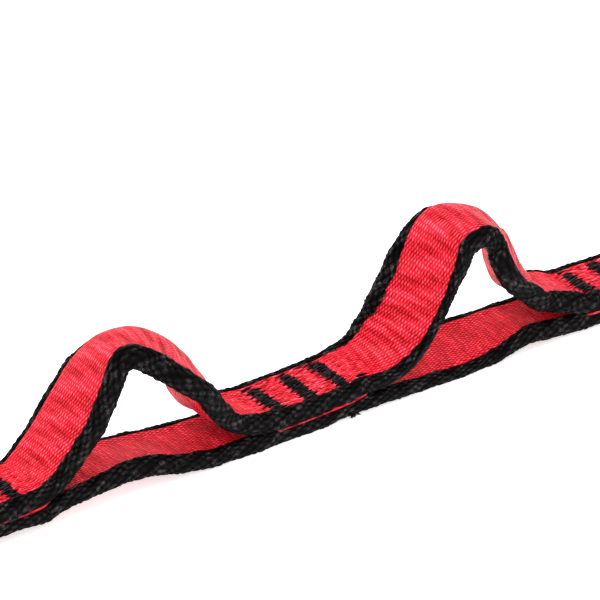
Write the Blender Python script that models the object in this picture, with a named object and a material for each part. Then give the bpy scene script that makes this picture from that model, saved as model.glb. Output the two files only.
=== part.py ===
"""Climbing daisy chain: one long nylon strap folded into two layers, which are sewn together at
ten stations by three bartacks each. Between two stations the upper layer is longer than the
lower one and stands up as a pocket. One end is a long loop for a harness, the other a short
loop for a carabiner, and the strap's end is lapped over the last station.

The chain lies along X on the plane Z = 0, with its pockets up. It can fold at eleven lines across
the strap, one beside each station. At each of them the solids end in a V, so that they can turn.
"""

import math

import bmesh
import bpy
import numpy as np
from mathutils import Vector

MM = 0.001

# Driving dimensions of the strap
STRAP_WIDTH = 18 * MM
SELVEDGE_THICK = 4.0 * MM
FIELD_THICK = 2.7 * MM
FIELD_WIDTH = 12.6 * MM
LAYER_GAP = 0.3 * MM

# Up off the floor, where nothing presses it flat, the strap is this much fuller
FULL_FIELD_THICK = 4.2 * MM
FULL_SELVEDGE_THICK = 4.6 * MM
FULL_ABOVE = 12 * MM

# Driving dimensions of the chain
POCKETS = 9
PITCH = 92 * MM
TACK_SPACING = 9.0 * MM
LEVEL_BESIDE_STATION = 11.5 * MM
FOLD_BESIDE_STATION = 14.0 * MM
CLIP_FOLD_BESIDE_STATION = 27.0 * MM
FOLD_ANGLE = math.radians(75)
FOLD_ROOM = math.radians(2)
FOLD_GAP = 0.8 * MM

# Driving dimensions of a bartack: its bar, and the thread that goes through the layers
TACK_LENGTH = 12.2 * MM
TACK_WIDTH = 2.8 * MM
TACK_HEIGHT = 0.7 * MM
UNDER_TACK_HEIGHT = 0.35 * MM
TACK_GAP = 0.15 * MM
THREAD_LENGTH = 9.0 * MM
THREAD_WIDTH = 1.0 * MM
SLOT_ROOM = 0.3 * MM

# Heights of the middle of each layer, and of the fold lines
LOWER_Z = SELVEDGE_THICK / 2
UPPER_Z = LOWER_Z + SELVEDGE_THICK + LAYER_GAP
LAP_Z = UPPER_Z + SELVEDGE_THICK + LAYER_GAP
FOLD_Z = (LOWER_Z + UPPER_Z) / 2

# One quarter of the strap's section, from the field's edge round the selvedge: across, up, and
# how much higher it is where the strap is full
FIELD_SWELL = (FULL_FIELD_THICK - FIELD_THICK) / 2
SELVEDGE_SWELL = (FULL_SELVEDGE_THICK - SELVEDGE_THICK) / 2
SECTION_QUARTER = (
    (FIELD_WIDTH / 2, FIELD_THICK / 2, FIELD_SWELL),
    (FIELD_WIDTH / 2 + 0.9 * MM, SELVEDGE_THICK / 2, SELVEDGE_SWELL),
    (STRAP_WIDTH / 2 - 0.9 * MM, SELVEDGE_THICK / 2, SELVEDGE_SWELL),
    (STRAP_WIDTH / 2, SELVEDGE_THICK / 4, SELVEDGE_SWELL / 2),
)

# Two pockets' outlines in millimetres: along from the station, height above the upper layer,
# sideways, and the turn of the strap about its own length in degrees
LOW_POCKET = (
    (18.5, 3.2, 0.6, 4), (23.5, 8.6, 0.8, 5), (31.5, 18.6, 1.2, 7), (35.6, 24.9, 1.2, -3),
    (40.5, 28.9, 1.5, -16), (47.5, 27.8, 0.6, 0), (54.0, 23.4, -1.6, 10), (59.3, 17.4, -2.4, 6),
    (63.0, 9.8, -1.2, -3), (67.5, 3.8, -0.4, -5), (74.5, 0.9, 0.0, -2),
)
TALL_POCKET = (
    (20.0, 1.9, -0.6, 8), (27.2, 7.4, -0.9, 30), (33.0, 15.6, -0.7, 45), (38.0, 25.0, -1.2, 33),
    (43.5, 31.8, -1.4, 6), (49.3, 31.0, -0.8, -5), (54.2, 27.4, -1.1, 8), (57.6, 21.3, -2.8, 22),
    (63.0, 12.2, -0.8, 7), (68.2, 4.9, 0.7, -4), (76.0, 1.8, 0.5, -2),
)

# Each pocket: its place between the low outline (0) and the tall one (1), its height, and how
# much of the turn and the sideways lean it has. The fifth and the sixth are the outlines.
POCKET_VARIATION = (
    (0.70, 0.93, 0.45), (0.25, 1.04, -0.50), (1.00, 1.00, -1.00),
    (0.45, 0.96, 0.35), (0.00, 1.00, 1.00), (1.00, 1.00, 1.00),
    (0.35, 0.94, -0.60), (0.75, 1.03, 0.40), (0.15, 0.90, -0.80),
)

# The lower layer under the two pockets, in millimetres and degrees: along, height, turn
LOW_POCKET_BASE = (
    (16.0, 0.0, 0), (19.0, 1.6, 0), (25.0, 3.9, 0), (31.0, 4.5, -2), (40.0, 4.6, -6.4),
    (47.0, 3.6, -5.7), (54.0, 2.1, -2.9), (62.0, 0.9, 0), (70.0, 0.3, 0), (77.0, 0.0, 0),
)
TALL_POCKET_BASE = (
    (16.0, 0.0, 0), (19.0, 0.15, 0), (25.0, 0.45, 2.5), (31.0, 0.8, 5), (40.0, 1.0, 6.2),
    (47.0, 1.0, 5.8), (54.0, 1.15, 2.2), (64.0, 1.75, -7), (70.0, 0.95, -4), (77.0, 0.0, 0),
)

# The end loops' outlines in millimetres: distance from the fold line, and height
GIRTH_LOOP = (
    (6, 6.6), (18, 11.5), (36, 18.5), (60, 23.2), (82, 23.4), (97, 19.8), (104.5, 12.2),
    (100, 4.4), (89, 2.0), (74, 2.0), (50, 2.0), (25, 2.0),
)
CLIP_LOOP = (
    (5, 6.7), (13, 11.0), (25, 19.2), (38, 24.6), (51, 23.0), (58.5, 14.6), (54.5, 5.2),
    (44, 2.0), (32, 2.0), (16, 2.0),
)

# The lapped end: where it and the layer under it are cut, and where it climbs over that layer
LAP_START = -15.0 * MM
LAP_CURL = 0.9 * MM
UPPER_CUT = 12.4 * MM
LAP_CLIMB = ((11.5, 1.0), (15.0, 0.96), (19.0, 0.45), (23.0, 0.02))

RED_NYLON = (0.80, 0.012, 0.035, 1)
BLACK_NYLON = (0.010, 0.010, 0.012, 1)


def clear_scene():
    for found in list(bpy.data.objects):
        bpy.data.objects.remove(found, do_unlink=True)


def plain_material(name, colour, roughness):
    made = bpy.data.materials.new(name)
    made.use_nodes = True
    made.diffuse_color = colour
    shader = made.node_tree.nodes["Principled BSDF"]
    shader.inputs["Base Color"].default_value = colour
    shader.inputs["Roughness"].default_value = roughness
    shader.inputs["Metallic"].default_value = 0.0
    return made


def section(fullness):
    """The strap's outline as (across, up) points, once round: a field between two thicker
    selvedges. fullness is 0 where the strap is pressed flat and 1 where it is free."""
    across, flat, rise = np.array(SECTION_QUARTER).T
    quarter = np.stack([across, flat + fullness * rise], axis=1)
    right = np.concatenate([quarter, quarter[::-1] * (1, -1)])
    return np.concatenate([right, right[::-1] * (-1, 1)])


def fullness_at(rise):
    """How full the strap is at a height above where it lies flat, as a smooth step."""
    t = np.clip(rise / FULL_ABOVE, 0, 1)
    return t * t * (3 - 2 * t)


def smooth_curve(points, count):
    """Places on the smooth curve through these points, evenly spaced: a Catmull-Rom curve whose
    tangent at each point is the slope between its two neighbours, with chord lengths as steps."""
    points = np.array(points, float)
    chord = np.linalg.norm(np.diff(points[:, :3], axis=0), axis=1)
    knots = np.concatenate([[0], np.cumsum(chord)])
    slopes = np.gradient(points, knots, axis=0)
    at = np.linspace(0, knots[-1], count)
    left = np.clip(np.searchsorted(knots, at, side="right") - 1, 0, len(knots) - 2)
    step = (knots[left + 1] - knots[left])[:, None]
    s = (at[:, None] - knots[left][:, None]) / step
    return (
        points[left] * (2 * s**3 - 3 * s**2 + 1)
        + slopes[left] * step * (s**3 - 2 * s**2 + s)
        + points[left + 1] * (3 * s**2 - 2 * s**3)
        + slopes[left + 1] * step * (s**3 - s**2)
    )


def cross_frames(path):
    """The across and outward directions at each place of a path of (x, y, z, turn). Across starts
    level, along Y, and both are turned about the path by its fourth number."""
    along = np.gradient(path[:, :3], axis=0)
    along /= np.linalg.norm(along, axis=1, keepdims=True)
    across = np.array([0.0, 1.0, 0.0]) - along[:, 1:2] * along
    across /= np.linalg.norm(across, axis=1, keepdims=True)
    outward = np.cross(along, across)
    c, s = np.cos(path[:, 3:]), np.sin(path[:, 3:])
    return across * c + outward * s, outward * c - across * s


def ring_places(path, most_step, most_turn, level_x):
    """Indices along a fine path, closer together where it bends or turns, with one at each of
    level_x, where the path comes level with its station."""
    across, outward = cross_frames(path)
    step = np.linalg.norm(np.diff(path[:, :3], axis=0), axis=1)
    turn = np.linalg.norm(np.diff(outward, axis=0), axis=1)
    cost = np.concatenate([[0], np.cumsum(step / most_step + turn / most_turn)])
    count = math.ceil(cost[-1]) + 1
    places = np.searchsorted(cost, np.linspace(0, cost[-1], count) - 1e-9)
    return np.union1d(places, [np.argmin(abs(path[:, 0] - x)) for x in level_x]).astype(int)


def strap_rings(path, folds, level_x, flat_z, most_step=16 * MM, most_turn=math.radians(24)):
    """The strap's section at places along a path. Where an end lies at a fold line, its points
    draw back from that line by their height above or below it, which makes half of a V."""
    across, outward = cross_frames(path)
    rings = []
    for i in ring_places(path, most_step, most_turn, level_x):
        outline = section(fullness_at(path[i, 2] - flat_z))
        rings.append(path[i, :3] + outline[:, :1] * across[i] + outline[:, 1:] * outward[i])
    lean = math.tan(FOLD_ANGLE / 2 + FOLD_ROOM)
    for ring, fold_x in ((rings[0], folds[0]), (rings[-1], folds[1])):
        if fold_x is None:
            continue
        inward = np.sign(np.mean(rings[len(rings) // 2][:, 0]) - fold_x)
        ring[:, 0] = fold_x + inward * (FOLD_GAP / 2 + abs(ring[:, 2] - FOLD_Z) * lean)
    return rings


def level_run(x_from, x_to, z, step=1 * MM):
    """A straight level path of (x, y, z, turn)."""
    x = np.linspace(x_from, x_to, max(3, round(abs(x_to - x_from) / step)))
    return np.stack([x, 0 * x, z + 0 * x, 0 * x], axis=1)


def pocket_path(start, end, left_x, variation):
    """The upper layer from one fold line to the next: up over its pocket and along the station
    after it. left_x is the middle of the station before the pocket."""
    mix, height, turn = variation
    outline = (1 - mix) * np.array(LOW_POCKET, float) + mix * np.array(TALL_POCKET, float)
    outline *= (MM, height * MM, turn * MM, math.radians(turn))
    raised = [(left_x + x, y, UPPER_Z + z, roll) for x, z, y, roll in outline]
    station_x = left_x + PITCH
    level = [(station_x + x, 0, UPPER_Z, 0) for x in (-LEVEL_BESIDE_STATION, 0.0)]
    path = smooth_curve([(start, 0, UPPER_Z, 0), *raised, *level, (end, 0, UPPER_Z, 0)], 900)
    path[:, 2] = np.maximum(path[:, 2], UPPER_Z)
    return path


def base_path(start, end, left_x, variation):
    """The lower layer from one fold line to the next: a low hump under the pocket, turned a little
    about its own length."""
    mix, _, turn = variation
    outline = (1 - mix) * np.array(LOW_POCKET_BASE, float) + mix * np.array(TALL_POCKET_BASE, float)
    outline *= (MM, MM, math.radians(turn))
    raised = [(left_x + x, 0, LOWER_Z + z, roll) for x, z, roll in outline]
    station_x = left_x + PITCH
    level = [(station_x + x, 0, LOWER_Z, 0) for x in (-LEVEL_BESIDE_STATION, 0.0)]
    path = smooth_curve([(start, 0, LOWER_Z, 0), *raised, *level, (end, 0, LOWER_Z, 0)], 600)
    path[:, 2] = np.maximum(path[:, 2], LOWER_Z)
    return path


def loop_path(outline, fold_x, side):
    """An end loop from the upper layer at its fold line, round its nose and back along the floor.
    side is 1 for a loop that points along +X and -1 for one that points along -X."""
    points = [(fold_x, 0, UPPER_Z, 0)]
    points += [(fold_x + side * along * MM, 0, z * MM, 0) for along, z in outline]
    points += [(fold_x, 0, LOWER_Z, 0)]
    path = smooth_curve(points, 1200)
    path[:, 2] = np.maximum(path[:, 2], LOWER_Z)
    return path


def lap_path(station_x, fold_x):
    """The strap's lapped end: it curls up a little at its cut, lies level over the last station and
    then comes down to the upper layer's height."""
    points = [(station_x + LAP_START, 0, LAP_Z + LAP_CURL, 0)]
    points += [(station_x + x, 0, LAP_Z, 0) for x in (-LEVEL_BESIDE_STATION, 0.0)]
    points += [
        (station_x + x * MM, 0, UPPER_Z + share * (LAP_Z - UPPER_Z), 0) for x, share in LAP_CLIMB
    ]
    points += [(fold_x, 0, UPPER_Z, 0)]
    path = smooth_curve(points, 400)
    over_station = path[:, 0] < station_x + LEVEL_BESIDE_STATION
    path[:, 2] = np.maximum(path[:, 2], np.where(over_station, LAP_Z, UPPER_Z))
    return path


def object_from_bmesh(name, made, materials):
    bmesh.ops.recalc_face_normals(made, faces=made.faces)
    mesh = bpy.data.meshes.new(name)
    made.to_mesh(mesh)
    made.free()
    for material in materials:
        mesh.materials.append(material)
    obj = bpy.data.objects.new(name, mesh)
    bpy.context.scene.collection.objects.link(obj)
    return obj


def strap_object(name, rings, materials):
    """A closed strap through its rings: a quad between each two neighbouring points of two
    neighbouring rings, and a cap at each end. The selvedges take the second material."""
    made = bmesh.new()
    loops = [[made.verts.new(point) for point in ring] for ring in rings]
    beside_field = abs(section(0)[:, 0]) > FIELD_WIDTH / 2
    count = len(beside_field)
    for before, after in zip(loops, loops[1:]):
        for i in range(count):
            j = (i + 1) % count
            face = made.faces.new((before[i], before[j], after[j], after[i]))
            face.material_index = 1 if beside_field[i] or beside_field[j] else 0
    made.faces.new(loops[0])
    made.faces.new(loops[-1])
    obj = object_from_bmesh(name, made, materials)
    obj.data.shade_smooth()
    obj.data.set_sharp_from_angle(angle=math.radians(40))
    return obj


def box_stack(made, middle, levels):
    """A closed stack of rectangles about one vertical line: (half along X, half along Y, z) each."""
    corners = ((-1, -1), (1, -1), (1, 1), (-1, 1))
    rings = [
        [made.verts.new((middle + a * half_x, b * half_y, z)) for a, b in corners]
        for half_x, half_y, z in levels
    ]
    for below, above in zip(rings, rings[1:]):
        for i in range(4):
            j = (i + 1) % 4
            made.faces.new((below[i], below[j], above[j], above[i]))
    made.faces.new(rings[0])
    made.faces.new(rings[-1])


def tack_places(station_x):
    return [station_x + step * TACK_SPACING for step in (-1, 0, 1)]


def bartack(name, middle, top_layer_z, material):
    """A bar of stitching on the top layer and one under the lower layer, with the thread between."""
    bar, thread = (TACK_WIDTH / 2, TACK_LENGTH / 2), (THREAD_WIDTH / 2, THREAD_LENGTH / 2)
    worn = (bar[0] - 0.4 * MM, bar[1] - 0.4 * MM)
    under = LOWER_Z - FIELD_THICK / 2 - TACK_GAP
    over = top_layer_z + FIELD_THICK / 2 + TACK_GAP
    made = bmesh.new()
    box_stack(
        made,
        middle,
        [
            (*worn, under - UNDER_TACK_HEIGHT),
            (*bar, under - UNDER_TACK_HEIGHT / 2),
            (*bar, under),
            (*thread, under),
            (*thread, over),
            (*bar, over),
            (*bar, over + TACK_HEIGHT / 2),
            (*worn, over + TACK_HEIGHT),
        ],
    )
    return object_from_bmesh(name, made, [material])


def slot_cutter(name, station_x):
    """Three slots through every layer of a station, for the thread of its bartacks."""
    made = bmesh.new()
    half_x, half_y = THREAD_WIDTH / 2 + SLOT_ROOM, THREAD_LENGTH / 2 + SLOT_ROOM
    for middle in tack_places(station_x):
        box_stack(made, middle, [(half_x, half_y, -5 * MM), (half_x, half_y, LAP_Z + 5 * MM)])
    cutter = object_from_bmesh(name, made, [])
    cutter.hide_render = True
    cutter.display_type = "WIRE"
    return cutter


def cut_slots(obj, cutter):
    cut = obj.modifiers.new("slots", "BOOLEAN")
    cut.operation = "DIFFERENCE"
    cut.solver = "EXACT"
    cut.object = cutter


def loop_reach(outline):
    """How far a loop's outer side reaches past its fold line."""
    path = loop_path(outline, 0.0, 1)
    _, outward = cross_frames(path)
    return float((path[:, 0] + outward[:, 0] * SELVEDGE_THICK / 2).max())


def body_empty(name, place, parent, parent_place):
    """The turning point of one body, on the fold line that joins it to its parent."""
    empty = bpy.data.objects.new("axis_" + name, None)
    empty.empty_display_size = 0.01
    bpy.context.scene.collection.objects.link(empty)
    empty.parent = parent
    empty.location = place - parent_place
    return empty


def build():
    clear_scene()
    red = plain_material("woven_red_nylon", RED_NYLON, 0.55)
    black = plain_material("braided_black_nylon", BLACK_NYLON, 0.6)
    strap = [red, black]

    # Places along X, with the whole chain centred on X = 0
    last_gap = CLIP_FOLD_BESIDE_STATION + loop_reach(CLIP_LOOP)
    first_gap = FOLD_BESIDE_STATION + loop_reach(GIRTH_LOOP)
    first_x = (first_gap - last_gap - POCKETS * PITCH) / 2
    stations = [first_x + k * PITCH for k in range(POCKETS + 1)]
    folds = [x + FOLD_BESIDE_STATION for x in stations[:-1]]
    girth_fold = stations[0] - FOLD_BESIDE_STATION
    clip_fold = stations[-1] + CLIP_FOLD_BESIDE_STATION
    cutters = [slot_cutter(f"slots_{k + 1}", x) for k, x in enumerate(stations)]

    bodies = {"station_1": [], "girth_loop": [], "clip_loop": []}

    def add_strap(body, name, path, ends, cutter=None, level_x=(), flat_z=UPPER_Z):
        obj = strap_object(name, strap_rings(path, ends, level_x, flat_z), strap)
        if cutter:
            cut_slots(obj, cutter)
        bodies.setdefault(body, []).append(obj)

    def add_tacks(body, station, top_layer_z):
        for letter, middle in zip("abc", tack_places(stations[station])):
            tack = bartack(f"bartack_{station + 1}_{letter}", middle, top_layer_z, black)
            bodies[body].append(tack)

    # The first station and the long loop
    both = (girth_fold, folds[0])
    add_strap("station_1", "station_1_lower", level_run(*both, LOWER_Z), both, cutters[0])
    add_strap("station_1", "station_1_upper", level_run(*both, UPPER_Z), both, cutters[0])
    add_tacks("station_1", 0, UPPER_Z)
    girth = loop_path(GIRTH_LOOP, girth_fold, -1)
    add_strap("girth_loop", "girth_hitch_loop", girth, (girth_fold, girth_fold))

    # Each pocket with the station after it
    for k, variation in enumerate(POCKET_VARIATION):
        body, cutter, last = f"pocket_{k + 1}", cutters[k + 1], k == POCKETS - 1
        level_x = [stations[k + 1] - LEVEL_BESIDE_STATION]
        end = clip_fold if last else folds[k + 1]
        upper_end = stations[-1] + UPPER_CUT if last else end
        upper = pocket_path(folds[k], upper_end, stations[k], variation)
        upper_ends = (folds[k], None if last else end)
        add_strap(body, f"pocket_web_{k + 1}", upper, upper_ends, cutter, level_x)
        lower = base_path(folds[k], end, stations[k], variation)
        add_strap(body, f"base_web_{k + 1}", lower, (folds[k], end), cutter, level_x)
        add_tacks(body, k + 1, LAP_Z if last else UPPER_Z)

    # The lapped end and the short loop
    last_body = f"pocket_{POCKETS}"
    lap = lap_path(stations[-1], clip_fold)
    lap_level = [stations[-1] + side * LEVEL_BESIDE_STATION for side in (-1, 1)]
    add_strap(last_body, "lap_end", lap, (None, clip_fold), cutters[-1], lap_level, LAP_Z)
    clip = loop_path(CLIP_LOOP, clip_fold, 1)
    add_strap("clip_loop", "clip_loop_web", clip, (clip_fold, clip_fold))

    # The tree of bodies: the middle pocket carries the others, out to both ends
    middle = (POCKETS + 1) // 2
    root = f"pocket_{middle}"
    places = {root: Vector((0, 0, 0))}
    axes = {root: body_empty(root, places[root], None, places[root])}
    chain = [(f"pocket_{k}", f"pocket_{k - 1}", folds[k - 1]) for k in range(middle + 1, POCKETS + 1)]
    chain += [("clip_loop", last_body, clip_fold)]
    chain += [(f"pocket_{k}", f"pocket_{k + 1}", folds[k]) for k in range(middle - 1, 0, -1)]
    chain += [("station_1", "pocket_1", folds[0]), ("girth_loop", "station_1", girth_fold)]
    for name, parent, fold_x in chain:
        places[name] = Vector((fold_x, 0, FOLD_Z))
        axes[name] = body_empty(name, places[name], axes[parent], places[parent])
    for name, objects in bodies.items():
        for obj in objects:
            obj.parent = axes[name]
            obj.location = -places[name]


build()
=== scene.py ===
import math

import bpy
import numpy as np
from mathutils import Matrix, Vector


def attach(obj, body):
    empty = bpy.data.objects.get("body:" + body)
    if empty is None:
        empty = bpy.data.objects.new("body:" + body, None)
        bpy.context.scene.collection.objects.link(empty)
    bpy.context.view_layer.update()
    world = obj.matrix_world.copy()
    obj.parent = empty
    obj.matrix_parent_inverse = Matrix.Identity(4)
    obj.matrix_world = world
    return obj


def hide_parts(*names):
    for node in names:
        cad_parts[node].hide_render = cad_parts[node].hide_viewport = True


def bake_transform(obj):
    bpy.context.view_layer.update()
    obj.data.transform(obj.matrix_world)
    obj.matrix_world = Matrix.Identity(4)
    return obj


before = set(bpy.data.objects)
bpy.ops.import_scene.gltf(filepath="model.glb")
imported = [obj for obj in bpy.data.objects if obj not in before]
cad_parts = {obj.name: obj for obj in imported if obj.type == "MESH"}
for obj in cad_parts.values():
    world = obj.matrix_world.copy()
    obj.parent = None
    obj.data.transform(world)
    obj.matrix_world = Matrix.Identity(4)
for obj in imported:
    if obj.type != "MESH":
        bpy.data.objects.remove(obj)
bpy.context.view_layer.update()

MM = 0.001

# The strap's paths, as the part's source has them. Lengths are in millimetres, apart from those of
# the studio. Stations and pockets are counted from 0 here, and from 1 in the names of pieces.
PITCH = 92.0
POCKETS = 9
LOWER_Z = 2.0
UPPER_Z = 6.3
LAP_Z = 10.6
TACK_SPACING = 9.0
FIRST_STATION = -397.519
STATIONS = [FIRST_STATION + k * PITCH for k in range(POCKETS + 1)]
GIRTH_FOLD = STATIONS[0] - 14.0
CLIP_FOLD = STATIONS[-1] + 27.0
LEVEL_BESIDE_STATION = 11.5

# The photograph shows this station, with a pocket on each side of it
PHOTO_STATION = 5
PHOTO_POCKETS = (4, 5)

# How many places a path has before it is sampled evenly
UPPER_PLACES = 900
LOWER_PLACES = 700
GIRTH_PLACES = 1400
CLIP_PLACES = 1600

# Pocket outlines: along from the station, height above the upper layer, sideways, turn in degrees
LOW_POCKET = (
    (18.5, 3.2, 0.6, 4), (23.5, 8.6, 0.8, 5), (31.5, 18.6, 1.2, 7), (35.6, 24.9, 1.2, -3),
    (40.5, 28.9, 1.5, -16), (47.5, 27.8, 0.6, 0), (54.0, 23.4, -1.6, 10), (59.3, 17.4, -2.4, 6),
    (63.0, 9.8, -1.2, -3), (67.5, 3.8, -0.4, -5), (74.5, 0.9, 0.0, -2),
)
TALL_POCKET = (
    (20.0, 1.9, -0.6, 8), (27.2, 7.4, -0.9, 30), (33.0, 15.6, -0.7, 45), (38.0, 25.0, -1.2, 33),
    (43.5, 31.8, -1.4, 6), (49.3, 31.0, -0.8, -5), (54.2, 27.4, -1.1, 8), (57.6, 21.3, -2.8, 22),
    (63.0, 12.2, -0.8, 7), (68.2, 4.9, 0.7, -4), (76.0, 1.8, 0.5, -2),
)
# Each pocket's place between the low outline (0) and the tall one (1), then the factors of its
# height and of its turns
POCKET_VARIATION = (
    (0.70, 0.93, 0.45), (0.25, 1.04, -0.50), (1.00, 1.00, -1.00),
    (0.45, 0.96, 0.35), (0.00, 1.00, 1.00), (1.00, 1.00, 1.00),
    (0.35, 0.94, -0.60), (0.75, 1.03, 0.40), (0.15, 0.90, -0.80),
)
# The lower layer beneath those two: along from the station, height above its level, turn in degrees
LOW_POCKET_BASE = (
    (16.0, 0.0, 0), (19.0, 1.6, 0), (25.0, 3.9, 0), (31.0, 4.5, -2), (40.0, 4.6, -6.4),
    (47.0, 3.6, -5.7), (54.0, 2.1, -2.9), (62.0, 0.9, 0), (70.0, 0.3, 0), (77.0, 0.0, 0),
)
TALL_POCKET_BASE = (
    (16.0, 0.0, 0), (19.0, 0.15, 0), (25.0, 0.45, 2.5), (31.0, 0.8, 5), (40.0, 1.0, 6.2),
    (47.0, 1.0, 5.8), (54.0, 1.15, 2.2), (64.0, 1.75, -7), (70.0, 0.95, -4), (77.0, 0.0, 0),
)
# How far the field swells over each pocket's far selvedge, on its left and on its right limb
POCKET_TUCK = (
    (0.3, 0.8), (0.8, 0.2), (0.2, 1.0), (0.5, 0.8), (0.35, 1.0), (0.0, 1.0), (0.8, 0.5),
    (0.2, 1.0), (0.9, 0.6),
)
# The end loops' outlines: how far beyond the fold, and the height
GIRTH_LOOP = (
    (6, 6.6), (18, 11.5), (36, 18.5), (60, 23.2), (82, 23.4), (97, 19.8), (104.5, 12.2),
    (100, 4.4), (89, 2.0), (74, 2.0), (50, 2.0), (25, 2.0),
)
CLIP_LOOP = (
    (5, 6.7), (13, 11.0), (25, 19.2), (38, 24.6), (51, 23.0), (58.5, 14.6), (54.5, 5.2),
    (44, 2.0), (32, 2.0), (16, 2.0),
)
# The climb to the lapped end, along from the last station and as a share, and the end itself,
# along from the station and above the lap's level
LAP_CLIMB = ((11.5, 1.0), (15.0, 0.96), (19.0, 0.45), (23.0, 0.02))
LAP = ((6, 0), (0, 0), (-6, 0), (-11.5, 0), (-14.8, 0.9))

# Where a layer leaves its station or comes to the next, as distances from the station's middle.
# The upper layer's places have heights too, and the last one runs on beneath the lap.
UPPER_START = ((0, 0), (5, 0), (10.5, 0), (14.2, 0.7))
LEVEL_START = (0, 5, 10, 14)
LEVEL_END = (LEVEL_BESIDE_STATION, 5, 0)
CLIP_START = (0, 8, 16, 24)
UNDER_LAP = (6, 12.2)

# The field: the height over which it goes from flat to full, how far each face then stands out
# at its edges, how much further in its middle, and how far it swells over a selvedge
FULL_ABOVE = 12.0
FIELD_SWELL = 0.75
FIELD_CROWN = 0.9
FIELD_TUCK = 0.75

# How much further the near selvedge reaches at places along from the station:
# outward and inward, for a low pocket and a tall one, on the upper layer and on the lower
SWELL_PLACES = (0, 8, 14, 22, 29, 35, 41, 48, 56, 62, 70, 80, 86, 92)
UPPER_SWELLS = (
    ((0.35, 0.35, 0.2, 0, 0.05, 0.3, 0.7, 0.8, 0.6, 0.7, 0.75, 1.0, 0.7, 0.35),
     (0.75, 1.1, 0.6, 0.45, 0.5, 0.55, 0.35, 0.4, 0.1, -0.3, -0.1, 0.2, 0.5, 0.75)),
    ((0.35, 0.35, 0.3, -0.2, -0.5, -0.4, -0.2, 0, 0.1, 0.2, 0.6, 1.1, 0.8, 0.35),
     (0.75, 0.7, 0.3, -0.3, -0.5, 0, 0.7, 0.4, 0.6, 0.3, 0.2, 0.4, 0.6, 0.75)),
)
LOWER_SWELLS = (
    ((0, 0, 0, 0, 0, 0.5, 0.8, 0.5, 0.25, 0.2, 0.4, 0.9, 0.5, 0),
     (0, 0, 0, 0.1, 0.3, 0.5, 0.5, 0.3, 0.3, 0.3, 0.1, 0, 0, 0)),
    ((0, 0, 0, -0.2, -0.5, -0.8, -1.0, -1.3, -0.5, 0.2, 0.4, 0.9, 0.5, 0),
     (0, 0, 0, 0, 0, 0.1, 0.2, 0.2, 0.2, 0.2, 0.1, 0, 0, 0)),
)

# Low hills that the strap lies over: the station, how far along from it, the width and the height
HILLS = ((4, 0.0, 20.4, 2.8), (4, 13.0, 8.0, 0.7), (5, 15.0, 12.0, 0.7), (6, -14.0, 11.0, 0.7))

# Each station's bartacks, in steps of their spacing, and those that are not quite regular: how far
# the last stitches trail to the left, how far the near end leans to the right, and how far the bar
# stands from its even place, for (station, step)
TACK_STEPS = (-1, 0, 1)
EVEN_TACK = (0.0, 0.0, 0.0)
UNEVEN_TACKS = {
    (5, -1): (2.6, 0.6, 0.1), (5, 0): (0.0, 0.2, 0.7), (5, 1): (3.8, 0.5, 1.0),
    (6, -1): (2.0, 0.4, 1.0), (6, 0): (0.0, 0.2, 0.9), (4, 0): (0.0, 0.5, 0.0),
    (2, 0): (1.8, -0.5, 0.2), (8, 1): (2.4, 0.4, -0.3), (1, -1): (0.0, -0.6, 0.3),
    (7, 1): (0.0, 0.7, -0.4),
}

# Selvedge cord: its middle across the strap, its half width and half height, the power that
# squares its section, its swelling where the strap stands free, and how far it wanders across,
# outward and in size
CORD_ACROSS = 7.7
CORD_HALF_WIDTH = 1.3
CORD_HALF_HEIGHT = 2.05
CORD_SQUARING = 0.8
CORD_FREE_SWELL = 0.15
CORD_WANDER = (0.22, 0.15, 0.05)

# The far cord where the field swells over it: how far it is pushed out and lifted, and how much
# narrower and thinner it is, thinner still where the strap stands free
PRESSED_OUT = 0.4
PRESSED_LIFT = 0.35
PRESSED_NARROW = 0.3
PRESSED_THIN = 0.28
PRESSED_THIN_FREE = 0.17

# The far cord where nothing presses it, on a tall pocket's left limb: how much stouter it is, its
# plait's share in that, and the limb's middle, half length and abruptness
STOUT = 0.32
STOUT_RELIEF = 0.6
LEFT_LIMB = (26, 14, 4)

# The cord's plait: its strands, a crest's length, how far the crests stand out, the height that
# counts as level, how narrow a strand is and how deep it dives
PLAIT_STRANDS = 9
PLAIT_STEP = 3.3
PLAIT_RELIEF = 0.40
PLAIT_LEVEL = 0.9
STRAND_NARROWNESS = 1.9
STRAND_DIVE = 0.5

# How uneven the plait is: its drift along the cord, the wander of its strands along and around,
# the mean and the spread of its crests' heights, and a crest's number where two pieces meet
PLAIT_DRIFT = 0.10
PLAIT_SHAKE = 0.2
SHAKE_AROUND = 0.6
CREST_HEIGHT = 0.95
CREST_SPREAD = 0.22
CALM_NUMBER = 0.4

# Waves of the uneven plait: how often round the cord, and their pace along it. Their sum is
# divided by its size.
ROUND_WAVES = ((1, 2.9), (-2, 1.3), (3, -2.1), (-4, 3.7))
ROUND_WAVES_SIZE = 2.6

# Wavelengths along the strap
SLOW_WAVES = (61.0, 37.0, 23.0, 13.0)
QUICK_WAVES = (17.0, 9.0, 5.0, 3.1)

# How far from a piece's ends its wander, its plait's unevenness and its ripples die away, and a
# loop's field comes to swell less. Then how far the long loop's upper end is shaped as its station
# is, and how long a hot-cut end is.
WANDER_FADE = 8
PLAIT_FADE = 3
RIPPLE_FADE = 16
LOOP_FADE = 30
LOOP_START = 14
CUT_END = 1.2


# Paths

def smooth_step(t):
    """0 below 0, 1 above 1, and a smooth rise between them."""
    t = np.clip(t, 0, 1)
    return t * t * (3 - 2 * t)


def hill(x, middle, width, power=2):
    """1 at the middle and 1/e a width away from it. A higher power gives it a flatter top."""
    return np.exp(-(((x - middle) / width) ** power))


def between(low, tall, share):
    """A mixture of the low pocket's numbers and the tall one's."""
    return (1 - share) * np.array(low, float) + share * np.array(tall, float)


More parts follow.
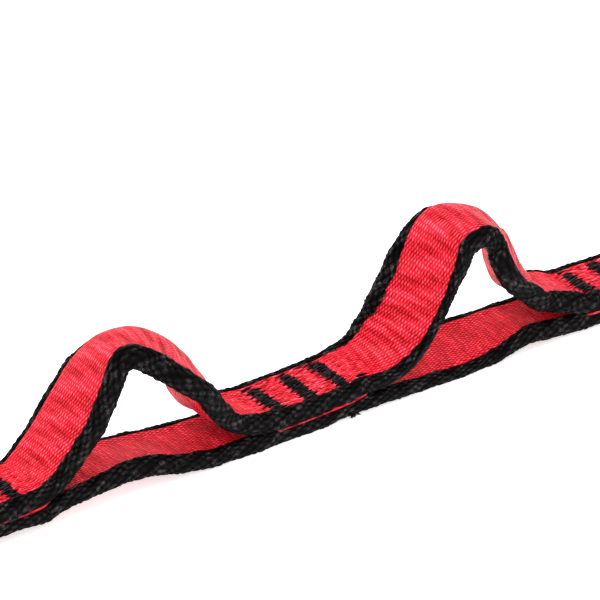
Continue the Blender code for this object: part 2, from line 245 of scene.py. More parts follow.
def lengths(points):
    """How far along the line through these points each of them is."""
    steps = np.linalg.norm(np.diff(points[:, :3], axis=0), axis=1)
    return np.concatenate([[0], np.cumsum(steps)])


def past_station(path):
    """How far along from the station before it each place of a path is."""
    return (path[:, 0] - FIRST_STATION) % PITCH


def near_start(path):
    """1 at a sampled path's start, falling to 0 over a loop's start."""
    return np.clip(1 - path[:, 4] / LOOP_START, 0, 1)


def smooth_curve(points, count):
    """Evenly spaced places on the smooth curve through these points: between two neighbours it is
    the cubic whose slope at each point is that between the point's own neighbours."""
    points = np.array(points, float)
    knots = lengths(points)
    slopes = np.gradient(points, knots, axis=0)
    at = np.linspace(0, knots[-1], count)
    left = np.clip(np.searchsorted(knots, at, side="right") - 1, 0, len(knots) - 2)
    step = (knots[left + 1] - knots[left])[:, None]
    s = (at[:, None] - knots[left][:, None]) / step
    return (
        points[left] * (2 * s**3 - 3 * s**2 + 1)
        + slopes[left] * step * (s**3 - 2 * s**2 + s)
        + points[left + 1] * (3 * s**2 - 2 * s**3)
        + slopes[left + 1] * step * (s**3 - s**2)
    )


def raised(x):
    """How far the strap stands off the floor: the sum of its smooth low hills."""
    return sum(
        height * hill(x - STATIONS[station], along, width)
        for station, along, width, height in HILLS
    )


def tack_x(station, step):
    """Where a bartack stands along the chain."""
    moved = UNEVEN_TACKS.get((station, step), EVEN_TACK)[2]
    return STATIONS[station] + step * TACK_SPACING + moved


def swells(path, tables, tall):
    """How much further a pocket's near selvedge reaches outward and inward along a path: between
    the low pocket's and the tall one's values as its outline is, read along from the station."""
    along = past_station(path)
    # On the long loop they fade away from its upper end
    share = np.where(path[:, 0] <= FIRST_STATION, near_start(path), 1)
    return [
        (share * np.interp(along, SWELL_PLACES, value))[:, None] for value in between(*tables, tall)
    ]


def upper_path(k):
    """The upper layer from one station's middle, over pocket k, to the next station's middle."""
    mix, height, turn = POCKET_VARIATION[k]
    outline = between(LOW_POCKET, TALL_POCKET, mix) * (1, height, turn, math.radians(turn))
    left = STATIONS[k]
    points = [(left + x, 0, UPPER_Z + z, 0) for x, z in UPPER_START]
    points += [(left + x, y, UPPER_Z + z, roll) for x, z, y, roll in outline]
    points += [(left + PITCH - x, 0, UPPER_Z, 0) for x in LEVEL_END]
    if k == POCKETS - 1:
        points += [(left + PITCH + x, 0, UPPER_Z, 0) for x in UNDER_LAP]
    path = smooth_curve(points, UPPER_PLACES)
    path[:, 2] = np.maximum(path[:, 2], UPPER_Z) + raised(path[:, 0])
    return path


def lower_path(k):
    """The lower layer under pocket k, from one station's middle to the next: a low, turned hump."""
    mix, _, turn = POCKET_VARIATION[k]
    outline = between(LOW_POCKET_BASE, TALL_POCKET_BASE, mix) * (1, 1, math.radians(turn))
    left = STATIONS[k]
    points = [(left + x, 0, LOWER_Z, 0) for x in LEVEL_START]
    points += [(left + x, 0, LOWER_Z + z, roll) for x, z, roll in outline]
    points += [(left + PITCH - x, 0, LOWER_Z, 0) for x in LEVEL_END]
    path = smooth_curve(points, LOWER_PLACES)
    path[:, 2] = np.maximum(path[:, 2], LOWER_Z) + raised(path[:, 0])
    return path


def girth_path():
    """From the first station's middle on the upper layer, round the long loop, and back below."""
    points = [(STATIONS[0] - x, 0, UPPER_Z, 0) for x in LEVEL_START]
    points += [(GIRTH_FOLD - along, 0, z, 0) for along, z in GIRTH_LOOP]
    points += [(STATIONS[0] - x, 0, LOWER_Z, 0) for x in LEVEL_START[::-1]]
    path = smooth_curve(points, GIRTH_PLACES)
    path[:, 2] = np.maximum(path[:, 2], LOWER_Z)
    return path


def clip_path():
    """From the last station's middle on the lower layer, round the short loop, and back over the
    upper layer to the strap's end, which lies lapped over the station."""
    climb = LAP_Z - UPPER_Z
    points = [(STATIONS[-1] + x, 0, LOWER_Z, 0) for x in CLIP_START]
    points += [(CLIP_FOLD + along, 0, z, 0) for along, z in CLIP_LOOP[::-1]]
    points += [(STATIONS[-1] + x, 0, UPPER_Z + share * climb, 0) for x, share in LAP_CLIMB[::-1]]
    points += [(STATIONS[-1] + x, 0, LAP_Z + z, 0) for x, z in LAP]
    path = smooth_curve(points, CLIP_PLACES)
    beyond = path[:, 0] > STATIONS[-1] + LEVEL_BESIDE_STATION
    lapped = ~beyond & (np.arange(len(path)) > len(path) // 2)
    path[:, 2] = np.maximum(path[:, 2], np.where(lapped, LAP_Z, LOWER_Z))
    return path


def sampled(path, step):
    """The path at even steps of its length, with each place's length along it as a fifth number."""
    length = lengths(path)
    at = np.linspace(0, length[-1], max(3, round(length[-1] / step)) + 1)
    return np.stack([np.interp(at, length, path[:, i]) for i in range(4)] + [at], axis=1)


def cross_frames(path):
    """The across and outward directions of a path: level across, then turned by its fourth
    number."""
    along = np.gradient(path[:, :3], axis=0)
    along /= np.linalg.norm(along, axis=1, keepdims=True)
    across = np.array([0.0, 1.0, 0.0]) - along[:, 1:2] * along
    across /= np.linalg.norm(across, axis=1, keepdims=True)
    outward = np.cross(along, across)
    c, s = np.cos(path[:, 3:4]), np.sin(path[:, 3:4])
    return across * c + outward * s, outward * c - across * s


def carried(path, a, n):
    """A section's points, each a across and n outward from its place of the path."""
    across, outward = cross_frames(path)
    return path[:, None, :3] + a[..., None] * across[:, None] + n[..., None] * outward[:, None]


# Meshes

def ring_mesh(name, grid, attributes):
    """A closed body from a grid of points: each row is a ring, counterclockwise about the way
    along, and each end is closed by a fan round its middle."""
    rows, cols = grid.shape[:2]
    index = np.arange(rows * cols).reshape(rows, cols)
    after = np.roll(index, -1, axis=1)
    quads = np.stack([index[:-1], after[:-1], after[1:], index[1:]], axis=-1).reshape(-1, 4)
    first, last = rows * cols, rows * cols + 1
    start = np.stack([after[0], index[0], np.full(cols, first)], axis=-1)
    end = np.stack([index[-1], after[-1], np.full(cols, last)], axis=-1)
    points = np.concatenate([grid.reshape(-1, 3), grid[:1].mean(axis=1), grid[-1:].mean(axis=1)])
    values = {
        key: np.concatenate([value.reshape(-1, 3), value[:1].mean(axis=1), value[-1:].mean(axis=1)])
        for key, value in attributes.items()
    }
    return points, [quads, np.concatenate([start, end])], values


def joined(parts):
    """Several (points, faces by size, attribute values) as one."""
    points, faces, values, offset = [], {}, {}, 0
    for part_points, part_faces, part_values in parts:
        points.append(part_points)
        for block in part_faces:
            faces.setdefault(block.shape[1], []).append(block + offset)
        for key, value in part_values.items():
            values.setdefault(key, []).append(value)
        offset += len(part_points)
    return (
        np.concatenate(points),
        [np.concatenate(blocks) for blocks in faces.values()],
        {key: np.concatenate(value) for key, value in values.items()},
    )


def new_object(name, data):
    """An object in the scene, at the origin."""
    obj = bpy.data.objects.new(name, data)
    bpy.context.scene.collection.objects.link(obj)
    return obj


def make_object(name, part, material):
    """The mesh, in metres, as an object at the origin, shaded smooth."""
    points, faces, values = part
    mesh = bpy.data.meshes.new(name)
    corners = [face for block in faces for face in block.tolist()]
    mesh.from_pydata((points * MM).tolist(), [], corners)
    for key, value in values.items():
        attribute = mesh.attributes.new(key, "FLOAT_VECTOR", "POINT")
        attribute.data.foreach_set("vector", value.astype(np.float32).ravel())
    mesh.shade_smooth()
    mesh.materials.append(material)
    return new_object(name, mesh)


# The strap's surfaces

# Points round a cord, and steps along the strap. The photographed pockets have finer cords.
CORD_RING = 36
FINE_CORD_RING = 54
CORD_STEP = 0.36
FINE_CORD_STEP = 0.25
FIELD_STEP = 0.5

# The field's section: half its thickness, the height that counts as a face, half its flat width,
# its rounded edge, and the strip that shows between two layers. A strip's point is across,
# outward, and how far each of these grows with the flange, by which the strip reaches out.
FIELD_HALF = 1.32
FIELD_FACE = 1.3
FIELD_FLAT = 6.6
FIELD_EDGE = [(7.1, 1.1), (7.4, 0.5), (7.4, -0.5)]
FIELD_STRIP = (
    (7.5, -1.15, 0.6, -0.7), (7.3, -1.35, 1.62, -0.7), (7.3, -1.5, 1.66, -0.75),
    (7.0, -1.36, 1.7, -0.95),
)
FLANGE_DROP = 0.7

# The field's ripples: their height and wavelength, then those of the longer waves. They are
# highest where the strap stands free and at a pocket's left foot, given as its middle and width.
RIPPLE = 0.21
RIPPLE_LENGTH = 2.8
WAVE = 0.12
WAVE_LENGTH = 8.5
LEAST_RIPPLE = 0.35
FOOT = (24, 9)

# At a bartack: how deep and how wide the field is pulled in, and how wide its yarns are drawn
TACK_DIP = 0.32
TACK_DIP_WIDTH = 1.6
TACK_DRAWN_WIDTH = 6.0


def window(length, fade):
    """1 along a piece and 0 at its two ends, where it meets the next piece."""
    return smooth_step(np.minimum(length, length[-1] - length) / fade)


def fullness(path, flat_z):
    """0 where the strap is pressed flat and 1 where it stands free, as a smooth step of height."""
    return smooth_step((path[:, 2] - flat_z) / FULL_ABOVE)


def slow_noise(length, seed, wavelengths=SLOW_WAVES):
    """A wander from -1 to 1: a sum of sines of the length along the strap, with seeded phases."""
    phases = np.random.default_rng(seed).uniform(0, 2 * math.pi, len(wavelengths))
    waves = [np.sin(2 * math.pi * length / w + p) for w, p in zip(wavelengths, phases)]
    return sum(waves) / len(wavelengths)


def plait(along, around):
    """The surface of a plain plait: its height, and a number from 0 to 1 for each yarn's every
    crest. Strands of one family keep along - around whole, those of the other along + around. Each
    rises and dives as a cosine, the two families turn about, a strand's section is half an ellipse,
    and the surface is the higher of the two. A crest's number is the fraction of a large sine of
    its place in the plait, which repeats round the cord."""
    u, v = along - around, along + around
    i, j = np.round(u), np.round(v)
    wave_u = np.cos(math.pi * (v + i))
    wave_v = -np.cos(math.pi * (u + j))
    round_u = np.sqrt(np.clip(1 - (STRAND_NARROWNESS * (u - i)) ** 2, 0, 1))
    round_v = np.sqrt(np.clip(1 - (STRAND_NARROWNESS * (v - j)) ** 2, 0, 1))
    height_u, height_v = STRAND_DIVE * wave_u + round_u, STRAND_DIVE * wave_v + round_v
    crest_u = np.round((v + i) / 2) * 2 - i
    crest_v = np.round((u + j + 1) / 2) * 2 - 1 - j
    on_top = height_u > height_v
    first, second = np.where(on_top, i, crest_v), np.where(on_top, crest_u, j)
    ahead, turned = first + second, np.mod(second - first, 2 * PLAIT_STRANDS)
    number = np.mod(np.sin(12.99 * ahead + 78.23 * turned + 3.1 * on_top) * 4375.85, 1.0)
    return np.maximum(height_u, height_v), number


def uneven(along, around, seed):
    """From about -1 to 1 over a plait: waves that run round the cord one to four times while they
    run along it at their own pace, with seeded phases."""
    rng = np.random.default_rng(seed)
    total = 0
    for turns, pace in ROUND_WAVES:
        turned = 2 * math.pi * turns * around / PLAIT_STRANDS
        total = total + np.sin(turned + pace * along + rng.uniform(0, 6.3))
    return total / ROUND_WAVES_SIZE


def selvedge(path, side, seed, full, tuck, ends, fine, tall, tables, facing):
    """One plaited selvedge cord: a rounded-rectangle section carried along the strap's edge, with
    the plait standing on it. ends says which of its ends is a hot-cut end, which draws in. The
    near cord swells by the tables, and the far one is stout on a tall pocket's left limb. facing
    is 1 where the path's outward side is the one that the far cord is pressed to, and -1 where
    not."""
    length = path[:, 4]
    free = full[:, None]
    angle = np.linspace(0, 2 * math.pi, FINE_CORD_RING if fine else CORD_RING, endpoint=False)
    cells = max(1, round(length[-1] / PLAIT_STEP))
    along = (length / length[-1] * cells)[:, None]
    around = (PLAIT_STRANDS * angle / (2 * math.pi))[None, :]
    fade = window(length, WANDER_FADE)
    drift = (PLAIT_DRIFT * slow_noise(length, seed + 3, QUICK_WAVES) * fade)[:, None]
    # Where two pieces meet, the plait is even and its crests are alike
    calm = window(length, PLAIT_FADE)[:, None]
    shaken = PLAIT_SHAKE * calm * uneven(along, around, seed + 4)
    loose = CREST_HEIGHT + CREST_SPREAD * calm * uneven(along, around, seed + 5)
    height, number = plait(along + drift + shaken, around + SHAKE_AROUND * shaken)
    number = CALM_NUMBER + (number - CALM_NUMBER) * calm
    on_limb = np.clip(3 * full, 0, 1) * hill(past_station(path), *LEFT_LIMB)
    stout = STOUT * tall * (side > 0) * (on_limb * (1 - tuck))[:, None]
    crests = (1 + STOUT_RELIEF * stout) * (loose * height - PLAIT_LEVEL)
    relief = PLAIT_RELIEF * crests

    wander_across, wander_outward, wander_size = CORD_WANDER
    shift = wander_across * slow_noise(length, seed) * fade
    rise = wander_outward * slow_noise(length, seed + 1) * fade
    swell = 1 + wander_size * slow_noise(length, seed + 2) * fade + CORD_FREE_SWELL * full
    size = (swell[:, None] + stout) * end_taper(length, ends)[:, None]
    outer, inner = (0, 0) if side > 0 or tables is None else swells(path, tables, tall)
    grown = (outer + inner) / (2 * CORD_HALF_HEIGHT)
    hidden = (tuck if side > 0 else 0 * tuck)[:, None]
    thin = 1 - hidden * (PRESSED_THIN + PRESSED_THIN_FREE * free)
    narrow = 1 - PRESSED_NARROW * hidden
    lift = PRESSED_LIFT * hidden * (1 - free) * facing[:, None] + (outer - inner) / 2

    c, s = np.cos(angle), np.sin(angle)
    section = [np.sign(wave) * abs(wave) ** CORD_SQUARING for wave in (c, s)]
    normal = np.stack([c / CORD_HALF_WIDTH, s / CORD_HALF_HEIGHT])
    normal /= np.linalg.norm(normal, axis=0)
    a = (CORD_ACROSS + PRESSED_OUT * hidden + shift[:, None]
         + CORD_HALF_WIDTH * section[0] * size * narrow + normal[0] * relief * size)
    n = (rise[:, None] + lift
         + CORD_HALF_HEIGHT * section[1] * size * (thin + grown) + normal[1] * relief * size)
    grid = carried(path, side * a, n)
    # Mirrored rings run the other way round
    if side < 0:
        grid, crests, number = grid[:, ::-1], crests[:, ::-1], number[:, ::-1]
    key = np.stack([number, 0 * number, crests], axis=-1)
    return ring_mesh("selvedge", grid, {"plait": key})


def end_taper(length, ends):
    """Draws a hot-cut end in, as a quarter of an ellipse."""
    taper = np.ones_like(length)
    for cut, distance in zip(ends, (length, length[-1] - length)):
        if cut:
            t = np.clip(distance / CUT_END, 0, 1)
            taper = np.minimum(taper, 0.45 + 0.55 * np.sqrt(1 - (1 - t) ** 2))
    return taper


def field_outline(flange):
    """The red field's section once round: (across, outward). The outer face, the edge inside the
    selvedge, and on the inner side a thin strip that reaches out under it by flange."""
    top = [(a, FIELD_HALF) for a in np.linspace(0, FIELD_FLAT, 10)]
    strip = [(a + wider * flange, n + lower * flange) for a, n, wider, lower in FIELD_STRIP]
    under = [
        (a, -FIELD_HALF - FLANGE_DROP * flange * (a / FIELD_FLAT) ** 4)
        for a in np.linspace(6.3, 0.7, 9)
    ]
    right = np.array(top[1:] + FIELD_EDGE + strip + under)
    # Counterclockwise: from below up the right edge, over the top and down the left edge
    return np.concatenate([right[::-1], [(0, FIELD_HALF)], right * (-1, 1), [(0, -FIELD_HALF)]])


def field(path, seed, flange, full, tuck, ends, inner_tuck):
    """The red field: its section carried along the path, fuller where the strap stands free, with
    soft ripples across it, and pulled in at each bartack. It swells over the far selvedge on its
    outward face, and on its inner face by the share inner_tuck."""
    length = path[:, 4]
    free = full[:, None]
    rings = np.stack([field_outline(f) for f in flange])
    a, n = rings[..., 0], rings[..., 1]
    middle = np.clip(1 - (a / 7.2) ** 2, 0, 1)

    bowed = 1.2 * (a / 5) ** 2
    phase = 0.9 * slow_noise(length, seed)[:, None] + bowed + 0.3 * np.sin(a / 2.6 + seed)
    strength = 0.6 + 0.4 * slow_noise(length, seed + 5)[:, None]
    turn = 2 * math.pi * length[:, None]
    ripple = RIPPLE * strength * np.sin(turn / RIPPLE_LENGTH + phase)
    ripple += WAVE * np.sin(turn / WAVE_LENGTH + 0.35 * a + seed)
    wrinkled = np.maximum(full, hill(past_station(path), *FOOT))[:, None]
    ripple *= (middle * window(length, RIPPLE_FADE)[:, None]
               * (LEAST_RIPPLE + (1 - LEAST_RIPPLE) * wrinkled))

    tacks = [tack_x(station, step) for station in range(POCKETS + 1) for step in TACK_STEPS]
    near = np.array([path[:, 0] - x for x in tacks])
    dip = hill(near, 0, TACK_DIP_WIDTH).sum(axis=0) * np.isclose(path[:, 3], 0)
    pull = TACK_DIP * dip[:, None] * np.clip(1.25 - (a / FIELD_FLAT) ** 4, 0, 1)
    taper = end_taper(length, ends)[:, None]
    swell = free * (FIELD_SWELL + FIELD_CROWN * middle) * np.clip(abs(n) / FIELD_FACE, 0, 1)
    n = (n + ripple + np.sign(n) * (swell - pull * (abs(a) < 6.9))) * taper

    reach = np.clip((a - 5.4 * (1 - free)) / (1.4 + 3.6 * free), 0, 1)
    over = tuck[:, None] * np.where(n > 0, 1.0, inner_tuck[:, None])
    n = n + np.sign(n) * FIELD_TUCK * over * reach * np.clip(abs(n) / FIELD_FACE, 0, 1)
    a = a + 0.7 * over * np.clip((a - 5) / 2, 0, 1)
    a = a * (0.9 + 0.1 * taper)
    cloth = np.stack([length[:, None] + 0 * a, a, ripple / 0.15], axis=-1)
    drawn = np.clip(hill(near, 0, TACK_DRAWN_WIDTH).sum(axis=0), 0, 1)[:, None, None]
    drawn = drawn * np.ones((1, a.shape[1], 3))
    return ring_mesh("field", carried(path, a, n), {"cloth": cloth, "drawn": drawn})


# Materials

# The weave: a row's length, the distance between its floats, how far each row is set off against
# the one before and each float slants, as shares of that distance, and how far the rows wander
ROW_LENGTH = 1.1
FLOAT_SPACING = 0.78
ROW_OFFSET = 0.42
FLOAT_SLANT = 0.08
ROW_WANDER = 1.5

# Across the strap, the field's folded edge begins and ends here
FOLD_INNER = 7.0
FOLD_OUTER = 8.0

BUMP_STRENGTH = 0.6


def linear(hex_colour):
    """An sRGB colour such as "#a01020" as linear values with alpha 1."""
    values = [int(hex_colour[i : i + 2], 16) / 255 for i in (1, 3, 5)]
    return tuple(
        v / 12.92 if v <= 0.04045 else ((v + 0.055) / 1.055) ** 2.4 for v in values
    ) + (1.0,)


def add(tree, kind, inputs=(), **settings):
    """A new node with its settings, and its inputs set to values or linked to other sockets."""
    node = tree.nodes.new(kind)
    for key, value in settings.items():
        setattr(node, key, value)
    for key, value in dict(inputs).items():
        if isinstance(value, bpy.types.NodeSocket):
            tree.links.new(value, node.inputs[key])
        else:
            node.inputs[key].default_value = value
    return node


def new_material(name):
    """A material with a bare Principled shader: (material, its tree, the shader)."""
    material = bpy.data.materials.new(name)
    material.use_nodes = True
    tree = material.node_tree
    return material, tree, tree.nodes["Principled BSDF"]


def calculate(tree, operation, *values):
    """The output of a Math node."""
    return add(tree, "ShaderNodeMath", dict(enumerate(values)), operation=operation).outputs[0]


def from_mesh(tree, name):
    """A mesh attribute, as a vector."""
    return add(tree, "ShaderNodeAttribute", attribute_name=name).outputs["Vector"]


def separate(tree, vector):
    """A vector's three values."""
    return add(tree, "ShaderNodeSeparateXYZ", {0: vector}).outputs


def noise(tree, vector, scale, detail):
    """The value of a noise texture."""
    inputs = {"Vector": vector, "Scale": scale, "Detail": detail}
    return add(tree, "ShaderNodeTexNoise", inputs).outputs["Fac"]


def scaled(tree, vector, scale, turn=0.0):
    """A vector scaled along its axes and turned about the third."""
    inputs = {"Vector": vector, "Scale": scale, "Rotation": (0.0, 0.0, turn)}
    return add(tree, "ShaderNodeMapping", inputs).outputs["Vector"]


def mixture(tree, share, first, second):
    """A value that goes from first to second as share goes from 0 to 1."""
    inputs = {"Factor": share, "A": first, "B": second}
    return add(tree, "ShaderNodeMix", inputs, data_type="FLOAT").outputs[0]


def ramp(tree, value, low, high, first, second):
    """A colour that goes from first to second as value goes from low to high, smoothly."""
    share = add(
        tree, "ShaderNodeMapRange", {"Value": value, "From Min": low, "From Max": high},
        interpolation_type="SMOOTHSTEP",
    )
    mix = add(tree, "ShaderNodeMix", {"Factor": share.outputs["Result"]}, data_type="RGBA")
    for socket, colour in ((mix.inputs[6], first), (mix.inputs[7], second)):
        if isinstance(colour, str):
            socket.default_value = linear(colour)
        else:
            tree.links.new(colour, socket)
    return mix.outputs[2]


def finish_shader(tree, shader, colour, roughness, specular):
    """Gives a shader its colour and its gloss."""
    tree.links.new(colour, shader.inputs["Base Color"])
    shader.inputs["Roughness"].default_value = roughness
    shader.inputs["Specular IOR Level"].default_value = specular


def add_bump(tree, shader, height, distance):
    """Gives a shader a bump of this height, over a distance in metres."""
    inputs = {"Height": height, "Strength": BUMP_STRENGTH, "Distance": distance}
    bump = add(tree, "ShaderNodeBump", inputs)
    tree.links.new(bump.outputs["Normal"], shader.inputs["Normal"])


def red_woven_nylon():
    """Dyed nylon webbing, warp-faced: rows of short floats run across the strap, each float a
    little slanted, with painted highlights on it and painted shade in the gap beside it, and each
    row set off against the one before."""
    material, tree, shader = new_material("red_woven_nylon")

    def maths(operation, *values):
        return calculate(tree, operation, *values)

    cloth = from_mesh(tree, "cloth")
    place = separate(tree, cloth)
    rippled_up = place["Z"]
    even_row = maths("DIVIDE", place["X"], ROW_LENGTH)
    row = maths("MULTIPLY_ADD", noise(tree, cloth, 0.4, 1.0), ROW_WANDER, even_row)
    row_number = maths("FLOOR", row)
    within = maths("SUBTRACT", row, row_number)
    across = maths("DIVIDE", place["Y"], FLOAT_SPACING)
    slanted = maths("MULTIPLY_ADD", row_number, ROW_OFFSET, across)
    slanted = maths("MULTIPLY_ADD", within, FLOAT_SLANT, slanted)
    float_number = maths("FLOOR", slanted)
    beside = maths("COSINE", maths("MULTIPLY", slanted, 2 * math.pi))
    ending = maths("SINE", maths("MULTIPLY", within, math.pi))
    height = maths("MULTIPLY", beside, maths("POWER", ending, 0.6))
    height = maths("MULTIPLY_ADD", height, 0.9, maths("MULTIPLY_ADD", ending, 0.45, -0.3))
    # The folded edge shows hardly any floats
    inputs = {
        "Value": maths("ABSOLUTE", place["Y"]), "From Min": FOLD_INNER, "From Max": FOLD_OUTER,
    }
    edge = add(tree, "ShaderNodeMapRange", inputs).outputs["Result"]
    height = maths("MULTIPLY", height, maths("SUBTRACT", 1.0, edge))
    # Painted highlight: each float gets its own share, and on the ripples' crests more of them are
    # painted lit
    both = add(tree, "ShaderNodeCombineXYZ", {0: row_number, 1: float_number}).outputs[0]
    chance = add(tree, "ShaderNodeTexWhiteNoise", {"Vector": both}, noise_dimensions="2D")
    gloss = maths("MULTIPLY_ADD", rippled_up, 0.45, 0.6)
    gloss = maths("MULTIPLY_ADD", chance.outputs["Value"], 0.5, gloss)
    shine = maths("MULTIPLY", height, gloss)
    # Where the stitching draws the cloth in, its yarns lie in uneven streaks, painted as streaks of
    # highlight and shade
    streak = noise(tree, scaled(tree, cloth, (0.45, 1.5, 0.0), 0.3), 1.0, 1.0)
    streak = maths("MULTIPLY_ADD", streak, 10.0, -5.2)
    drawn = separate(tree, from_mesh(tree, "drawn"))["X"]
    drawn_share = maths("MULTIPLY_ADD", drawn, 0.38, 0.1)
    uneven_height = mixture(tree, drawn_share, height, streak)
    shine = mixture(tree, drawn_share, shine, streak)
    # Painted shade in the gaps between the floats, and painted light on the ripples' crests
    light_and_shade_key = maths("MULTIPLY_ADD", rippled_up, 0.28, uneven_height)
    body = ramp(tree, light_and_shade_key, -0.75, 0.15, "#840005", "#EC1F36")
    # The floats' painted highlight, over the body colour with its painted shade
    lit = ramp(tree, shine, 0.2, 1.1, body, "#FF6C7A")
    # Faint bands of painted light and shade run across the strap, lighter on the ripples' crests
    band_light_and_shade = noise(tree, scaled(tree, cloth, (0.30, 0.10, 0.1)), 1.0, 2.0)
    band_light_and_shade = maths("MULTIPLY_ADD", rippled_up, 0.05, band_light_and_shade)
    shaded = add(tree, "ShaderNodeMix", {"Factor": 1.0}, data_type="RGBA", blend_type="MULTIPLY")
    tree.links.new(lit, shaded.inputs[6])
    tree.links.new(ramp(tree, band_light_and_shade, 0.35, 0.65, "#E4D2D2", "#FFFFFF"), shaded.inputs[7])
    finish_shader(tree, shader, shaded.outputs[2], roughness=0.5, specular=0.08)
    add_bump(tree, shader, height, 0.0001)
    return material


def black_plaited_nylon():
    """Plaited black nylon selvedge: satin yarns with painted grey glints on their crests and
    painted shade in the hollows between them.
    """
    material, tree, shader = new_material("black_plaited_nylon")
    number, _, height = separate(tree, from_mesh(tree, "plait"))
    place = add(tree, "ShaderNodeTexCoord").outputs["Object"]
    # Painted highlight: the crests' glints differ from each other and come in spots of half a
    # millimetre; the crests have fine fibres
    glint = calculate(tree, "MULTIPLY_ADD", noise(tree, place, 1800.0, 2.0), 3.0, -1.1)
    own = calculate(tree, "POWER", number, 1.3)
    share = calculate(tree, "MULTIPLY_ADD", own, 0.6, glint)
    crest = calculate(tree, "MULTIPLY", height, share)
    # Painted shade: black in the plait's hollows, a little lighter on its crests
    yarn = ramp(tree, height, -0.3, 0.5, "#000000", "#0A0809")
    # Painted grey glints on the crests
    colour = ramp(tree, crest, 0.05, 1.1, yarn, "#454142")
    finish_shader(tree, shader, colour, roughness=0.45, specular=0.03)
    add_bump(tree, shader, noise(tree, place, 3500.0, 2.0), 0.0002)
    return material


def black_bonded_thread():
    """Bonded nylon sewing thread: smooth, a little glossy, nearly black, with painted grey glints
    in streaks.
    """
    material, tree, shader = new_material("black_bonded_thread")
    place = add(tree, "ShaderNodeTexCoord").outputs["Object"]
    # Painted highlight: grey glints in streaks along the thread
    glint = noise(tree, scaled(tree, place, (0.3, 1.5, 1.0)), 1500.0, 1.0)
    colour = ramp(tree, glint, 0.45, 0.7, "#010102", "#323135")
    finish_shader(tree, shader, colour, roughness=0.4, specular=0.06)
    return material


# Bartacks

# The sides of a thread's tube, and a bar's zigzag: its stitches, its near and far end, how far it
# reaches to each side, how much further every third stitch does, and how high the stitches arch
TUBE_SIDES = 6
STITCHES = 25
STITCH_PLACES = 11
BAR_NEAR = -6.2
BAR_FAR = 7.0
BAR_LEFT = 1.9
BAR_RIGHT = 1.95
REACH_SPREAD = 0.3
LEFT_TEETH = (0.8, 1.6)
RIGHT_TEETH = (0.5, 1.1)
STITCH_RADIUS = 0.29
STITCH_ARCH = 0.42
ARCH_SPREAD = 0.16

# How far above the upper layer's middle and below the lower one's the stitches lie, and how far
# their ends sink in
TOP_STITCHES = 1.05
TOP_SINK = 0.35
BELOW_STITCHES = 1.0
BELOW_SINK = 0.3

# Loose ends of thread: their places, their radius, and how near the cloth that they lie on is
LOOSE_PLACES = 9
LOOSE_RADIUS = 0.24
ON_CLOTH = 0.7


def thread(points, radius):
    """A sewing thread: a tube through each row of points, closed at both ends. points is (threads,
    places, 3) and radius (threads, places)."""
    count, places = points.shape[:2]
    along = np.gradient(points, axis=1)
    along /= np.linalg.norm(along, axis=2, keepdims=True)
    beside = np.cross(along, [0.0, 0.0, 1.0])
    beside /= np.maximum(np.linalg.norm(beside, axis=2, keepdims=True), 1e-9)
    above = np.cross(beside, along)
    angle = np.linspace(0, 2 * math.pi, TUBE_SIDES, endpoint=False)[:, None]
    ring = beside[:, :, None] * np.cos(angle) - above[:, :, None] * np.sin(angle)
    grid = points[:, :, None] + ring * radius[:, :, None, None]
    index = np.arange(count * places * TUBE_SIDES).reshape(count, places, TUBE_SIDES)
    after = np.roll(index, -1, axis=2)
    quads = np.stack([index[:, :-1], index[:, 1:], after[:, 1:], after[:, :-1]], axis=-1)
    caps = np.concatenate([index[:, 0], index[:, -1, ::-1]])
    return grid.reshape(-1, 3), [quads.reshape(-1, 4), caps], {}


def stitches(seed, over, x, z, sink, tail=0.0, lean=0.0):
    """A bartack's zigzag on one side: each stitch goes across the bar as a low arch, from one
    needle hole to the other, and every third reaches further out, which gives the bar its teeth.
    over is 1 on top and -1 below; tail is how far the last stitches trail away to the left, and
    lean how far the bar's near end lies to the right."""
    rng = np.random.default_rng(seed)
    order = np.arange(STITCHES)
    left_tooth, right_tooth = (order % 3 == (seed + side) % 3 for side in (0, 1))
    trailing = np.clip((order - STITCHES + 4) / 3, 0, 1)
    y = np.linspace(BAR_NEAR, BAR_FAR, STITCHES) + rng.uniform(-0.08, 0.08, STITCHES)
    left = BAR_LEFT + rng.uniform(0, REACH_SPREAD, STITCHES)
    left = left + left_tooth * rng.uniform(*LEFT_TEETH, STITCHES)
    right = BAR_RIGHT + rng.uniform(0, REACH_SPREAD, STITCHES)
    right = right + right_tooth * rng.uniform(*RIGHT_TEETH, STITCHES)
    left = left + tail * trailing**1.5
    right = right - 0.25 * tail * np.clip((order - STITCHES + 5) / 4, 0, 1)
    t = np.linspace(0, 1, STITCH_PLACES)[None, :]
    along = -left[:, None] + (left + right)[:, None] * t
    slant = rng.uniform(0.5, 1.5, STITCHES)[:, None] * (t - 0.5)
    arch = np.sin(math.pi * t) ** 0.55
    top = STITCH_ARCH + sink + rng.uniform(-ARCH_SPREAD, ARCH_SPREAD, STITCHES)[:, None]
    height = -sink + top * arch
    along = along - lean * y[:, None] / 6.1
    points = np.stack([x + along, y[:, None] + slant + 0 * t, z + over * height], axis=-1)
    tapered = np.clip(0.35 + 1.6 * np.sin(math.pi * t), 0, 1)
    radius = STITCH_RADIUS * tapered * (1 - 0.1 * min(tail, 3) * trailing[:, None])
    return thread(points, radius)


def bartack(station, step, top_z):
    """One bartack: the zigzag on the top layer and the one under the lower layer."""
    x = tack_x(station, step)
    seed = 3 * station + step + 1
    tail, lean, _ = UNEVEN_TACKS.get((station, step), EVEN_TACK)
    top = stitches(100 + seed, 1, x, top_z + raised(x) + TOP_STITCHES, TOP_SINK, tail, lean)
    below = stitches(200 + seed, -1, x, LOWER_Z + raised(x) - BELOW_STITCHES, BELOW_SINK)
    return joined([top, below])


